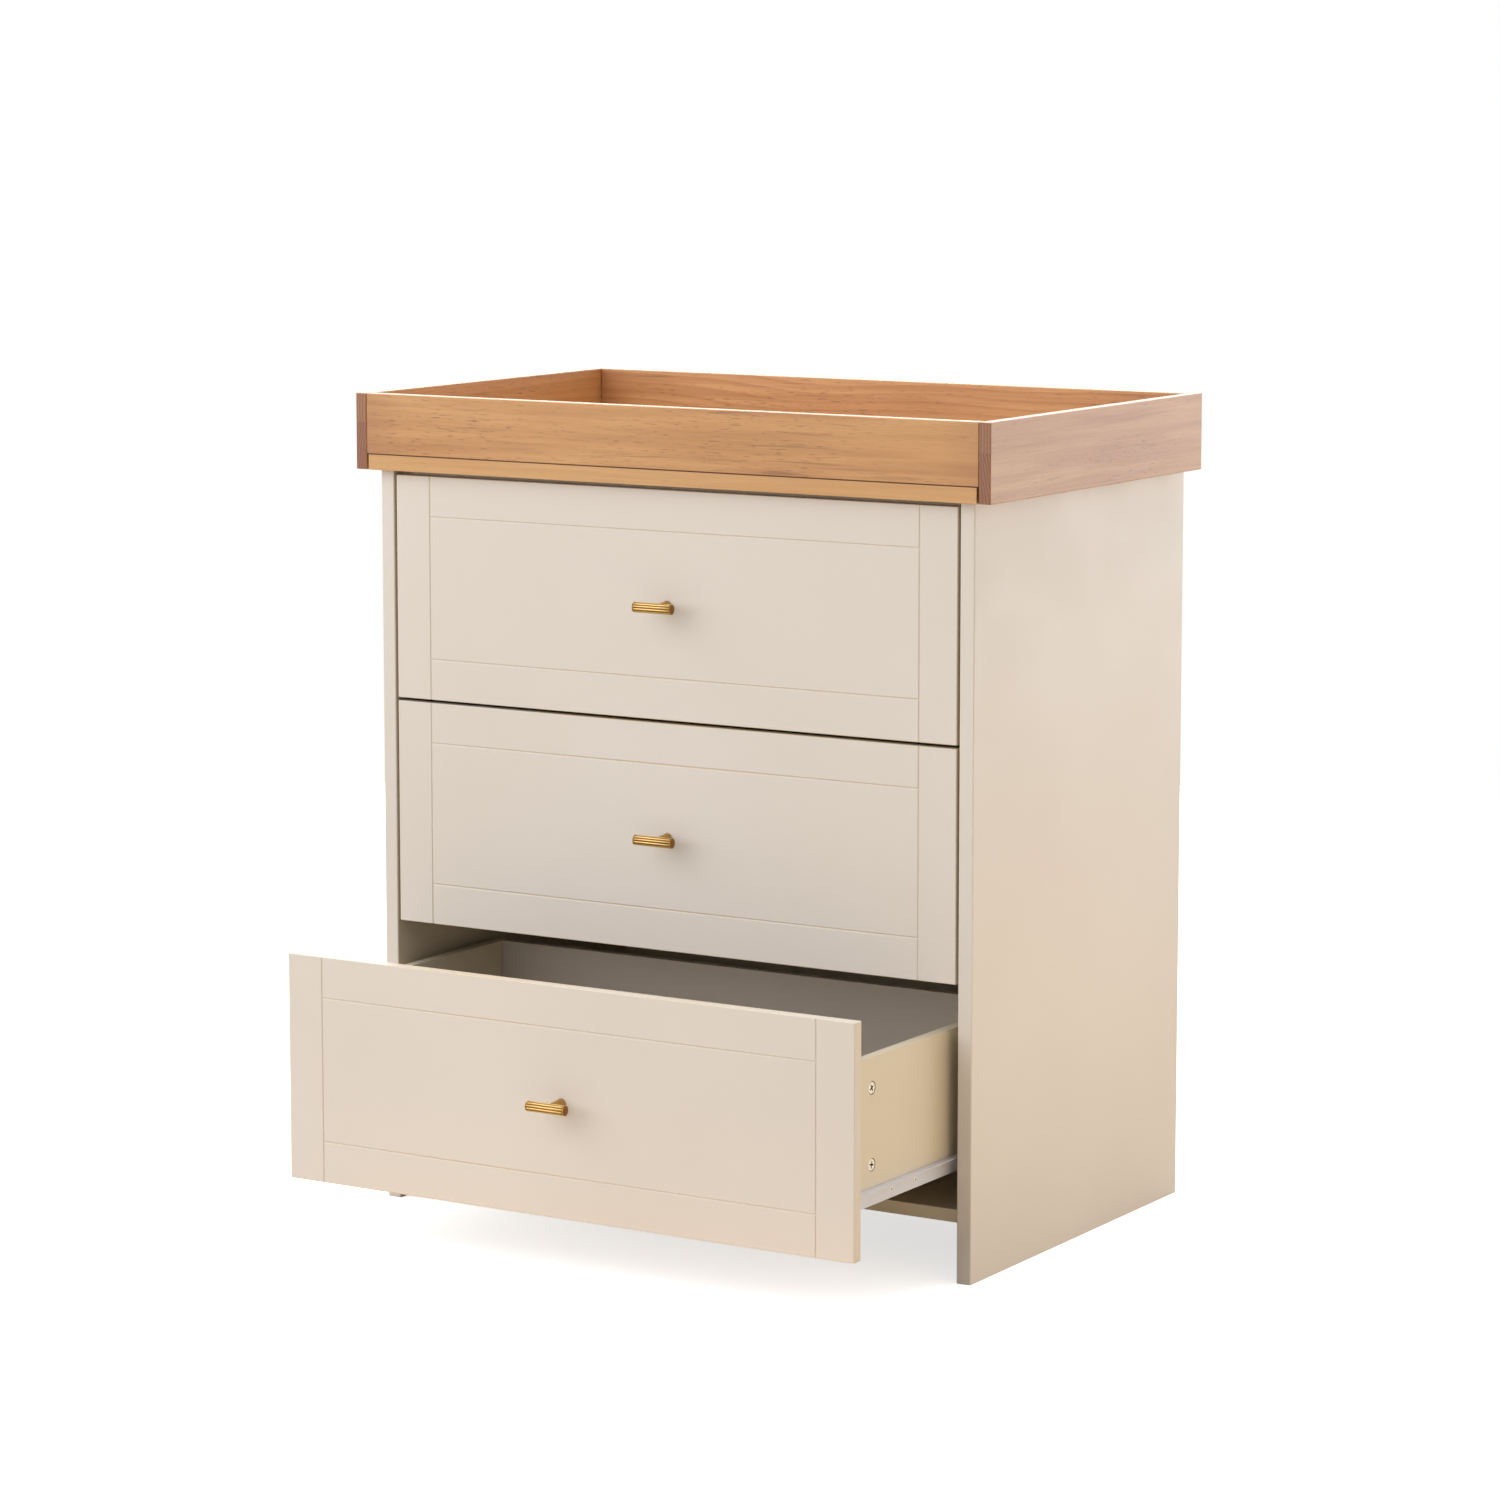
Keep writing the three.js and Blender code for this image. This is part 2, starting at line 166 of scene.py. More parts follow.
# The backdrop and the floor look white to the camera, and light the object less than they look.
WHITE = (1.0, 1.0, 1.0, 1.0)
BLACK = (0.0, 0.0, 0.0, 1.0)
BACKDROP_LIGHT = (0.50, 0.50, 0.50, 1.0)
FLOOR_SHOWN = (0.96, 0.96, 0.96, 1.0)
FLOOR_DRIFT = (0.9, 0.9, 0.9, 1.0)
FLOOR_BOUNCE = (0.52, 0.455, 0.35, 1.0)
FLOOR_GLOW = (0.66, 0.66, 0.66, 1.0)
FLOOR_RADIUS = 3.4
FLOOR_SIDES = 96


# ---- Material helpers ----

def srgb(red, green, blue):
    """A colour given as 0-255 sRGB values, in the linear form that shaders take."""
    def linear(value):
        value /= 255
        return value / 12.92 if value <= 0.04045 else ((value + 0.055) / 1.055) ** 2.4
    return (linear(red), linear(green), linear(blue), 1.0)


def darkened(colour, share):
    """The colour with each channel brought down to that share of it."""
    return tuple(channel * share for channel in colour[:3]) + (1.0,)


class Nodes:
    """A material's node tree, with short calls to add and join nodes."""

    def __init__(self, name):
        self.material = bpy.data.materials.new(name)
        self.material.use_nodes = True
        self.tree = self.material.node_tree
        self.shader = self.tree.nodes["Principled BSDF"]

    def add(self, kind, **settings):
        node = self.tree.nodes.new(kind)
        for key, value in settings.items():
            setattr(node, key, value)
        return node

    def feed(self, socket, value):
        """Joins an output to a socket, or sets the socket's own value."""
        if isinstance(value, bpy.types.NodeSocket):
            self.tree.links.new(value, socket)
        else:
            socket.default_value = value

    def coordinates(self, scale=(1, 1, 1), offset=(0, 0, 0)):
        """Object coordinates, in metres before they are scaled."""
        place = self.add("ShaderNodeTexCoord")
        mapping = self.add("ShaderNodeMapping")
        self.feed(mapping.inputs["Vector"], place.outputs["Object"])
        mapping.inputs["Scale"].default_value = scale
        mapping.inputs["Location"].default_value = offset
        return mapping.outputs["Vector"]

    def split(self, vector):
        """A vector's X, Y and Z outputs."""
        node = self.add("ShaderNodeSeparateXYZ")
        self.feed(node.inputs["Vector"], vector)
        return node.outputs

    def noise(self, vector, scale, detail=3.0, roughness=0.5, distortion=0.0):
        node = self.add("ShaderNodeTexNoise")
        self.feed(node.inputs["Vector"], vector)
        node.inputs["Scale"].default_value = scale
        node.inputs["Detail"].default_value = detail
        node.inputs["Roughness"].default_value = roughness
        node.inputs["Distortion"].default_value = distortion
        return node.outputs["Fac"]

    def ramp(self, fac, *stops):
        """A grey ramp through (position, level) stops."""
        node = self.add("ShaderNodeValToRGB")
        elements = node.color_ramp.elements
        while len(elements) < len(stops):
            elements.new(0.5)
        for element, (position, level) in zip(elements, stops):
            element.position = position
            element.color = (level, level, level, 1)
        self.feed(node.inputs["Fac"], fac)
        return node.outputs["Color"]

    def span(self, fac, low, high, from_low=0.0, from_high=1.0):
        """Maps from_low..from_high onto low..high, clamped."""
        node = self.add("ShaderNodeMapRange")
        self.feed(node.inputs["Value"], fac)
        for key, value in (("From Min", from_low), ("From Max", from_high),
                           ("To Min", low), ("To Max", high)):
            node.inputs[key].default_value = value
        return node.outputs["Result"]

    def math(self, operation, first, second=0.0):
        node = self.add("ShaderNodeMath", operation=operation)
        self.feed(node.inputs[0], first)
        self.feed(node.inputs[1], second)
        return node.outputs["Value"]

    def mix(self, fac, first, second):
        """A colour between the first, where fac is 0, and the second, where it is 1."""
        node = self.add("ShaderNodeMix", data_type="RGBA")
        self.feed(node.inputs["Factor"], fac)
        self.feed(node.inputs["A"], first)
        self.feed(node.inputs["B"], second)
        return node.outputs["Result"]

    def bump(self, height, strength, distance, after=None):
        """A normal raised by height, on top of the normal given as after."""
        node = self.add("ShaderNodeBump")
        self.feed(node.inputs["Height"], height)
        node.inputs["Strength"].default_value = strength
        node.inputs["Distance"].default_value = distance
        if after is not None:
            self.feed(node.inputs["Normal"], after)
        return node.outputs["Normal"]

    def surface(self, **values):
        """Sets the shader's sockets; an underscore in a name stands for a space."""
        for key, value in values.items():
            self.feed(self.shader.inputs[key.replace("_", " ")], value)
        return self.material


# ---- Materials ----

def paint(name, light, dark, roughness=0.42):
    """Satin spray paint on board: a faint orange peel and a slow drift in tone and gloss."""
    nodes = Nodes(name)
    place = nodes.coordinates()
    drift = nodes.noise(place, 2.6, detail=2.0)
    speck = nodes.noise(place, 420.0, detail=2.0)
    tone = nodes.mix(nodes.span(drift, 0, 1, 0.3, 0.7), light, dark)
    tone = nodes.mix(nodes.span(speck, 0.0, 0.25, 0.4, 0.8), tone, dark)
    peel = nodes.noise(place, 900.0, detail=1.5)
    swell = nodes.noise(place, 45.0, detail=1.0)
    relief = nodes.bump(peel, 0.03, 0.02 * MM)
    relief = nodes.bump(swell, 0.04, 0.12 * MM, after=relief)
    gloss = nodes.span(nodes.noise(place, 14.0), roughness - 0.05, roughness + 0.06, 0.3, 0.7)
    return nodes.surface(
        Base_Color=tone, Roughness=gloss, Normal=relief,
        Coat_Weight=0.12, Coat_Roughness=0.28, Specular_IOR_Level=0.5,
    )


class WoodNodes(Nodes):
    """The nodes of a board with its grain along X or Y; the seed shifts its pattern."""

    def __init__(self, name, axis, seed):
        super().__init__(name)
        self.grain_axis = axis
        self.shift = (seed * 1.37, seed * 2.11, seed * 0.73)
        self.place = self.split(self.coordinates())
        self.across = self.place["Y" if axis == "X" else "X"]
        self.height = self.math("SUBTRACT", self.place["Z"], cad_high.z)

    def stretched(self, along, across, detail=2.0, roughness=0.5, distortion=0.0):
        """Noise that is drawn out along the grain."""
        scale = (along, across, across) if self.grain_axis == "X" else (across, along, across)
        return self.noise(self.coordinates(scale, self.shift), 1.0, detail, roughness, distortion)

    def even(self, scale):
        """Noise that is alike in all directions."""
        return self.noise(self.coordinates((scale, scale, scale), self.shift), 1.0)

    def ring_mask(self, side_shift, height_shift, spacing, wander):
        """Growth rings about a heart line parallel to the grain; wander bends them."""
        sideways = self.math("POWER", self.math("ADD", self.across, side_shift), 2.0)
        upwards = self.math("POWER", self.math("ADD", self.height, height_shift), 2.0)
        radius = self.math("SQRT", self.math("ADD", sideways, upwards))
        bent = self.math("ADD", radius, wander)
        turns = self.math("FRACT", self.math("DIVIDE", bent, spacing))
        return self.ramp(turns, (0.0, 0.1), (0.5, 0.3), (0.84, 0.9), (0.93, 1.0), (1.0, 0.1))


def long_grain(nodes, tones, seed, rings, ring_spacing, flecks, half_length):
    """The colour, fibre and flecks of the faces along the grain."""
    pale, middle, deep, end_pale, end_deep = tones
    bend = nodes.math("MULTIPLY", nodes.stretched(1.2, 5.0), 0.06)
    heart = (0.3 + 0.05 * math.sin(seed), 0.5 + 0.1 * math.cos(seed))
    ring = nodes.ring_mask(*heart, ring_spacing, bend)
    patches = nodes.stretched(2.4, 13.0)
    streaks = nodes.stretched(3.5, 75.0, detail=3.0)
    fibre = nodes.stretched(9.0, 700.0, detail=4.0, roughness=0.65)
    clusters = nodes.span(nodes.stretched(5.0, 20.0), 0.3, 1.0, 0.42, 0.58)
    short = nodes.span(nodes.stretched(60.0, 560.0, distortion=0.3), 0.0, 1.0, 0.58, 0.72)
    long = nodes.span(nodes.stretched(7.0, 200.0, distortion=0.6), 0.0, 0.8, 0.62, 0.72)
    fleck = nodes.math("MULTIPLY", nodes.math("MAXIMUM", short, long), clusters)

    colour = nodes.mix(nodes.span(patches, 0, 1, 0.32, 0.68), pale, middle)
    colour = nodes.mix(nodes.span(streaks, 0.0, 0.5, 0.40, 0.70), colour, deep)
    colour = nodes.mix(nodes.math("MULTIPLY", ring, rings), colour, deep)
    colour = nodes.mix(nodes.span(fibre, 0.0, 0.24, 0.38, 0.72), colour, deep)
    colour = nodes.mix(nodes.math("MULTIPLY", fleck, 0.5 * flecks), colour, end_deep)
    if half_length:
        from_middle = nodes.math("ABSOLUTE", nodes.place[nodes.grain_axis])
        near_end = nodes.span(from_middle, 0.0, 0.32, half_length - PALE_END, half_length)
        colour = nodes.mix(near_end, colour, end_pale)
    return colour, fibre, fleck


def cut_ends(nodes, tones, seed):
    """Where the cut ends are, and their colour: two staves, with hearts on opposite sides."""
    pale, _, _, end_pale, end_deep = tones
    ripple = nodes.math("MULTIPLY", nodes.even(90.0), RING_RIPPLE)
    upper = nodes.ring_mask(0.06 + 0.01 * seed, 0.02, UPPER_STAVE_RINGS, ripple)
    lower = nodes.ring_mask(-0.03 - 0.01 * seed, 0.13, LOWER_STAVE_RINGS, ripple)
    is_upper = nodes.math("GREATER_THAN", nodes.height, -STAVE_JOINT)
    rings = nodes.math("MULTIPLY", nodes.mix(is_upper, lower, upper), 0.9)
    pores = nodes.span(nodes.even(900.0), 0.0, 0.3, 0.4, 0.7)
    colour = nodes.mix(rings, end_pale, end_deep)
    colour = nodes.mix(pores, colour, end_deep)
    colour = nodes.mix(nodes.math("MULTIPLY", is_upper, 0.12), colour, pale)
    normal = nodes.split(nodes.add("ShaderNodeTexCoord").outputs["Normal"])
    turned = nodes.math("ABSOLUTE", normal[nodes.grain_axis])
    return nodes.span(turned, 0.0, 1.0, 0.75, 0.9), colour


def wood(name, axis, tones, seed, rings=0.12, ring_spacing=9 * MM, flecks=1.0,
         half_length=None, joint=None):
    """Lacquered pine with its grain along X or Y.

    Faces along the grain show soft streaks, short dark flecks and a few growth rings; cut ends
    show the rings of the two staves that the board is glued from. rings and flecks say how
    strongly they show, half_length makes the ends of a long board paler, and joint is a height
    about which a painted shadow of the gap between tray and top darkens the board.
    """
    nodes = WoodNodes(name, axis, seed)
    colour, fibre, fleck = long_grain(nodes, tones, seed, rings, ring_spacing, flecks, half_length)
    is_end, end_colour = cut_ends(nodes, tones, seed)
    colour = nodes.mix(is_end, colour, end_colour)
    # Painted shadow of the gap between the tray and the top, darkest at the joint.
    if joint:
        from_joint = nodes.math("ABSOLUTE", nodes.math("SUBTRACT", nodes.place["Z"], joint))
        gap_shadow = nodes.span(from_joint, 0.85, 0.0, JOINT_SHADOW_REACH * 0.6, JOINT_SHADOW_REACH)
        colour = nodes.mix(gap_shadow, colour, JOINT_SHADOW_COLOUR)
    relief = nodes.bump(fibre, 0.15, 0.08 * MM)
    relief = nodes.bump(fleck, -0.25, 0.10 * MM, after=relief)
    gloss = nodes.span(fibre, 0.34, 0.48, 0.3, 0.7)
    return nodes.surface(
        Base_Color=colour, Roughness=gloss, Normal=relief,
        Coat_Weight=0.25, Coat_Roughness=0.22,
    )


def powder_coat(name, colour):
    """Pale powder coat on pressed steel: fine speckle over a slow drift in gloss."""
    nodes = Nodes(name)
    grain = nodes.noise(nodes.coordinates(), 1600.0, detail=2.0)
    drift = nodes.noise(nodes.coordinates((20.0, 4.0, 20.0)), 1.0)
    tone = nodes.mix(nodes.span(grain, 0.0, 0.35, 0.35, 0.65), colour, darkened(colour, 0.82))
    return nodes.surface(
        Base_Color=tone, Roughness=nodes.span(drift, 0.32, 0.46, 0.3, 0.7), Metallic=0.25,
        Normal=nodes.bump(grain, 0.15, 0.05 * MM),
    )


def bare_metal(name, colour, roughness, brush=(600.0, 600.0, 600.0), metallic=1.0):
    """Bare or plated metal with a little tarnish; brush gives the scales of its brush marks."""
    nodes = Nodes(name)
    marks = nodes.noise(nodes.coordinates(brush), 1.0, detail=4.0)
    cloud = nodes.noise(nodes.coordinates((120.0, 120.0, 120.0)), 1.0, detail=2.0)
    tone = nodes.mix(nodes.span(cloud, 0.0, 0.12, 0.35, 0.7), colour, darkened(colour, 0.55))
    gloss = nodes.span(marks, roughness - 0.08, roughness + 0.12, 0.3, 0.7)
    return nodes.surface(
        Base_Color=tone, Roughness=gloss, Metallic=metallic,
        Normal=nodes.bump(marks, 0.18, 0.03 * MM),
    )


def moulded_plastic(name, colour):
    """Slightly translucent plastic with a fine moulded skin."""
    nodes = Nodes(name)
    place = nodes.coordinates()
    skin = nodes.noise(place, 2200.0, detail=2.0)
    drift = nodes.noise(place, 60.0)
    tone = nodes.mix(nodes.span(drift, 0.0, 0.6, 0.3, 0.7), colour, darkened(colour, 0.9))
    return nodes.surface(
        Base_Color=tone, Roughness=nodes.span(skin, 0.42, 0.55, 0.3, 0.7),
        Normal=nodes.bump(skin, 0.12, 0.03 * MM), Subsurface_Weight=0.05,
    )


# Paint tones, each with a lighter and a darker shade that drift into each other.
CREAM_LIGHT = srgb(215, 207, 199)
CREAM_DARK = srgb(211, 202, 193)
# Edge cream, warmer and darker than the faces: painted warm shade on rounded edges and in the gaps.
CREAM_WARM_SHADE_EDGE = srgb(206, 188, 156)
INSIDE_LIGHT = srgb(212, 201, 180)
INSIDE_DARK = srgb(207, 194, 171)
# Drawer backs: a greyer, darker cream than the paint elsewhere, painted shade for the dim inside of
# the drawers.
SHADED_BACK_PALE = srgb(196, 187, 178)
SHADED_BACK_DEEP = srgb(190, 180, 170)

# Wood tones: pale, middle and deep along the grain, then pale and deep on cut ends.
TRAY_ENDS = (srgb(156, 104, 74), srgb(102, 58, 38))
TRAY_TONES = (srgb(209, 160, 104), srgb(194, 141, 86), srgb(158, 102, 57), *TRAY_ENDS)
REAR_TONES = (srgb(204, 160, 112), srgb(190, 142, 96), srgb(158, 106, 66), *TRAY_ENDS)
# The right side board's tones are a darker copy of the tray's: painted shade that holds down the
# strong light from the rear right.
SHADED_SIDE_BOARD_TONES = (srgb(194, 147, 101), srgb(180, 130, 83), srgb(150, 98, 58), *TRAY_ENDS)
TOP_ENDS = (srgb(172, 124, 84), srgb(118, 72, 46))
TOP_TONES = (srgb(208, 163, 108), srgb(201, 152, 96), srgb(178, 124, 72), *TOP_ENDS)
# Colour of the painted shadow in the gap between the tray and the top.
JOINT_SHADOW_COLOUR = srgb(62, 34, 22)

cream_paint = paint("cream_paint", CREAM_LIGHT, CREAM_DARK)
cream_warm_shade_edge = paint("cream_paint_warm_shade_edge", CREAM_WARM_SHADE_EDGE, CREAM_DARK, roughness=0.38)
cream_inside = paint("cream_paint_inside", INSIDE_LIGHT, INSIDE_DARK)
shaded_cream_back = paint("cream_paint_back_shaded", SHADED_BACK_PALE, SHADED_BACK_DEEP, roughness=0.5)
board_face = paint("board_face", srgb(232, 226, 214), srgb(224, 216, 203), roughness=0.55)
# Drawer bottoms are darker than the paint so that the drawers' insides fall into deeper shade:
# painted shade.
shade_deepening_drawer_board = paint("shade_deepening_drawer_board", srgb(198, 188, 174), srgb(190, 179, 163), roughness=0.55)
runner_coat = powder_coat("runner_powder_coat", srgb(212, 213, 222))
white_plastic = moulded_plastic("roller_plastic", srgb(236, 235, 230))
brass_along_x = bare_metal("brushed_brass_bar", srgb(214, 180, 118), 0.34, (30.0, 1500.0, 1500.0))
# The post is darker than the bar: painted shade under the bar.
brass_along_y_shaded = bare_metal("brushed_brass_post_shaded", srgb(190, 150, 92), 0.42, (1500.0, 40.0, 1500.0))
# Darker brass in the flute valleys: partly tarnish, partly painted shade.
brass_valley_tarnish_and_shade = bare_metal("brass_flute_valley", srgb(132, 92, 44), 0.45, (30.0, 1500.0, 1500.0))
brass_end = bare_metal("brushed_brass_end", srgb(150, 108, 58), 0.50, (900.0, 900.0, 900.0))
zinc = bare_metal("zinc_plate", srgb(242, 238, 228), 0.36, metallic=0.2)
# Near-black on the drive's faces: painted shade in the recess.
shaded_recess = bare_metal("drive_recess_shade", srgb(34, 30, 27), 0.6)


# ---- Mesh helpers ----

def new_piece(name, mesh, body, materials, smooth_angle=math.radians(35)):
    """Makes an object of a finished bmesh, rides it on a body and gives it its materials."""
    data = bpy.data.meshes.new(name)
    bmesh.ops.recalc_face_normals(mesh, faces=mesh.faces)
    for edge in mesh.edges:
        edge.smooth = len(edge.link_faces) == 2 and edge.calc_face_angle(math.pi) < smooth_angle
    for face in mesh.faces:
        face.smooth = True
    mesh.to_mesh(data)
    mesh.free()
    for material in materials:
        data.materials.append(material)
    piece = bpy.data.objects.new(name, data)
    bpy.context.scene.collection.objects.link(piece)
    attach(piece, body)
    return piece


def lathe(mesh, profile, segments, transform, radius_at=None):
    """Turns (radius, height) points round +Z, closed by caps, and moves the result by transform.

    radius_at(angle, radius, height) may reshape each ring, as for flutes.
    """
    rings = []
    for radius, height in profile:
        if radius == 0:
            rings.append([mesh.verts.new(transform @ Vector((0, 0, height)))])
            continue
        ring = []
        for step in range(segments):
            angle = 2 * math.pi * step / segments
            reach = radius_at(angle, radius, height) if radius_at else radius
            point = Vector((reach * math.cos(angle), reach * math.sin(angle), height))
            ring.append(mesh.verts.new(transform @ point))
        rings.append(ring)
    faces = []
    for low, high in zip(rings, rings[1:]):
        for step in range(segments):
            after = (step + 1) % segments
            corners = [
                low[step % len(low)], low[after % len(low)],
                high[after % len(high)], high[step % len(high)],
            ]
            unique = list(dict.fromkeys(corners))
            if len(unique) > 2:
                faces.append(mesh.faces.new(unique))
    return faces


def soften_edges(piece, width, segments, over_degrees, edge_material):
    """Rounds every edge that turns by more than over_degrees, in the material of that index."""
    soften = piece.modifiers.new("soften", "BEVEL")
    soften.width = width
    soften.segments = segments
    soften.limit_method = "ANGLE"
    soften.angle_limit = math.radians(over_degrees)
    soften.harden_normals = True
    soften.material = edge_material


def finish_cad_node(name, bevel, materials, segments=3, over_degrees=30):
    """Keeps a CAD node's shape and gives it materials; its rounded edges take the last one."""
    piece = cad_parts[name]
    piece.data.materials.clear()
    for material in materials:
        piece.data.materials.append(material)
    weld = piece.modifiers.new("weld", "WELD")
    weld.merge_threshold = WELD_DISTANCE
    flatten = piece.modifiers.new("flatten", "DECIMATE")
    flatten.decimate_type = "DISSOLVE"
    flatten.angle_limit = math.radians(1)
    soften_edges(piece, bevel, segments, over_degrees, len(materials) - 1)
    return piece


# ---- Wood: the top panel and the tray ----

def finish_wood():
    """Each board has a pattern of its own; painted shadow darkens the tray's front where it meets
    the top.
    """
    half_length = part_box("top_panel")[1].x
    joint = (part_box("top_panel")[1].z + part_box("tray_front_board")[0].z) / 2
    top = wood("pine_top", "X", TOP_TONES, 3.1, rings=0.2, flecks=0.4)
    finish_cad_node("top_panel", TOP_BEVEL, [top])
    front = wood("pine_tray_front", "X", TRAY_TONES, 7.3, half_length=half_length, joint=joint)
    rear = wood(
        "pine_tray_rear", "X", REAR_TONES, 10.2,
        rings=0.45, ring_spacing=6 * MM, half_length=half_length,
    )
    left = wood("pine_tray_left", "Y", TRAY_TONES, 4.4, rings=0.3)
    right = wood("pine_tray_right", "Y", SHADED_SIDE_BOARD_TONES, 6.1)
    for place, material in (("front", front), ("rear", rear), ("left", left), ("right", right)):
        finish_cad_node(f"tray_{place}_board", TRAY_BEVEL, [material])


# ---- Painted boards ----

def paint_faces(piece, material_index, chosen):
    """Gives the faces whose normals are chosen another of the piece's materials."""
    for face in piece.data.polygons:
        if chosen(face.normal):
            face.material_index = material_index


def finish_boards():
    """Paints the boards: outside and inside differ a little in tone; edges and the fronts' side
    faces take painted warm shade, drawer backs and bottoms darker painted shade.
    """
    for side_name, side in SIDES.items():
        panel_paints = [cream_paint, cream_inside, cream_warm_shade_edge]
        panel = finish_cad_node(f"{side_name}_side_panel", PAINT_BEVEL, panel_paints)
        paint_faces(panel, 1, lambda normal: normal.x * side < -0.9)
    for name in ("bottom_panel", "front_top_rail", "rear_top_rail"):
        finish_cad_node(name, PAINT_BEVEL, [cream_inside, cream_warm_shade_edge])
    for drawer in DRAWERS:
        for side_name in SIDES:
            board = f"{drawer}_drawer_{side_name}_side"
            finish_cad_node(board, PAINT_BEVEL, [cream_inside, cream_warm_shade_edge])
        finish_cad_node(f"{drawer}_drawer_back", PAINT_BEVEL, [shaded_cream_back, cream_warm_shade_edge])
        front = finish_cad_node(
            f"{drawer}_drawer_front", FRONT_BEVEL, [cream_paint, cream_warm_shade_edge],
            segments=4, over_degrees=70,
        )
        # The fronts' side faces take the edge cream: painted warm shade in the gaps between
        # drawers.
        paint_faces(front, 1, lambda normal: abs(normal.y) < 0.1)
        soften_edges(front, GROOVE_BEVEL, segments=1, over_degrees=35, edge_material=0)
        finish_cad_node(f"{drawer}_drawer_bottom", THIN_BOARD_BEVEL, [shade_deepening_drawer_board], segments=1)
    finish_cad_node("back_panel", THIN_BOARD_BEVEL, [board_face], segments=1)


# ---- Runners ----

def finish_runners():
    """Coats the runners and gives their rollers a plastic finish."""
    for drawer in DRAWERS:
        for side in SIDES:
            for member in ("cabinet", "drawer"):
                runner = f"{drawer}_{side}_{member}_runner"
                finish_cad_node(runner, STEEL_BEVEL, [runner_coat], segments=2)
            for place in ("front", "rear"):
                roller = f"{drawer}_{side}_{place}_roller"
                finish_cad_node(roller, ROLLER_BEVEL, [white_plastic], segments=2)


# ---- Knobs ----

def bar_profile(radius, fluted, half):
    """A knob bar's outline; fluted and half are how far its flutes and it reach from its middle."""
    groove_radius = radius - COLLAR_GROOVE_DEPTH
    collar_start = fluted + COLLAR_GROOVE
    collar_end = half - END_DOME
    end = [
        (groove_radius, fluted + COLLAR_GROOVE_SLANT),
        (groove_radius, collar_start),
        (radius - COLLAR_EDGE, collar_start),
        (radius, collar_start + COLLAR_EDGE),
        (radius, collar_end),
        (radius - COLLAR_EDGE, collar_end + COLLAR_EDGE * 0.7),
        (radius * 0.6, half - END_DOME * 0.18),
        (radius * 0.3, half - END_DOME * 0.04),
        (0, half),
    ]
    near = [(reach, -height) for reach, height in reversed(end)]
    shaft = [
        (radius - FLUTE_EDGE, -fluted), (radius, -fluted + FLUTE_EDGE),
        (radius, fluted - FLUTE_EDGE), (radius - FLUTE_EDGE, fluted),
    ]
    return near + shaft + end


def knob_bar(drawer):
    """A fluted bar with a smooth collar and a slightly domed face at each end."""
    low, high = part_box(f"{drawer}_knob_bar")
    centre = (low + high) / 2
    half = (high.x - low.x) / 2
    radius = (high.z - low.z) / 2
    fluted = half - COLLAR_LENGTH - COLLAR_GROOVE

    def flute(angle, reach, height):
        if abs(height) > fluted:
            return reach
        return reach - FLUTE_DEPTH * abs(math.sin(angle * FLUTES / 2)) ** 3

    mesh = bmesh.new()
    turn = Matrix.Translation(centre) @ Matrix.Rotation(math.pi / 2, 4, "Y")
    profile = bar_profile(radius, fluted, half)
    faces = lathe(mesh, profile, FLUTES * FLUTE_SEGMENTS, turn, radius_at=flute)
    # The valley brass in the deep flute faces is partly tarnish, partly painted shade.
    finishes = [brass_along_x, brass_end, brass_valley_tarnish_and_shade]
    for face in faces:
        middle = face.calc_center_median()
        along = abs(middle.x - centre.x)
        depth = radius - math.hypot(middle.y - centre.y, middle.z - centre.z)
        if along > half - END_DOME + COLLAR_EDGE * 0.5:
            face.material_index = finishes.index(brass_end)
        elif along < fluted and depth > FLUTE_DEPTH * 0.45:
            face.material_index = finishes.index(brass_valley_tarnish_and_shade)
    name = f"{drawer}_knob_bar"
    piece = new_piece(
        f"{drawer}_fluted_bar", mesh, f"{drawer}_drawer", finishes,
        smooth_angle=math.radians(50),
    )
    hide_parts(name)


def knob_post(drawer):
    """A round post that widens smoothly to its foot and is saddled to the bar."""
    low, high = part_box(f"{drawer}_knob_post")
    bar_low, bar_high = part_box(f"{drawer}_knob_bar")
    bar_radius = (bar_high.z - bar_low.z) / 2
    bar_y = (bar_low.y + bar_high.y) / 2
    foot_radius = (high.x - low.x) / 2
    length = high.y - (bar_y + bar_radius)
    centre = Vector(((low.x + high.x) / 2, high.y, (low.z + high.z) / 2))
    inner_radius = foot_radius - FOOT_EDGE
    profile = [(0, 0), (inner_radius, 0), (foot_radius, FOOT_EDGE), (foot_radius, FOOT_HEIGHT)]
    for step in range(1, POST_STEPS + 1):
        share = step / POST_STEPS
        flare = (1 - share) ** 2
        reach = NECK_RADIUS + (inner_radius - NECK_RADIUS) * flare
        profile.append((reach, FOOT_HEIGHT + (length - FOOT_HEIGHT) * share))
    mesh = bmesh.new()
    turn = Matrix.Translation(centre) @ Matrix.Rotation(math.pi / 2, 4, "X")
    lathe(mesh, profile, POST_SEGMENTS, turn)
    mesh.verts.ensure_lookup_table()
    last_ring = mesh.verts[-POST_SEGMENTS:]
    for vertex in last_ring:
        height = vertex.co.z - centre.z
        vertex.co.y = bar_y + math.sqrt(bar_radius ** 2 - height ** 2) - POST_INTO_BAR
    mesh.faces.new(last_ring)
    name = f"{drawer}_flared_post"
    piece = new_piece(name, mesh, f"{drawer}_drawer", [brass_along_y_shaded])
    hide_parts(f"{drawer}_knob_post")


# ---- Fasteners ----

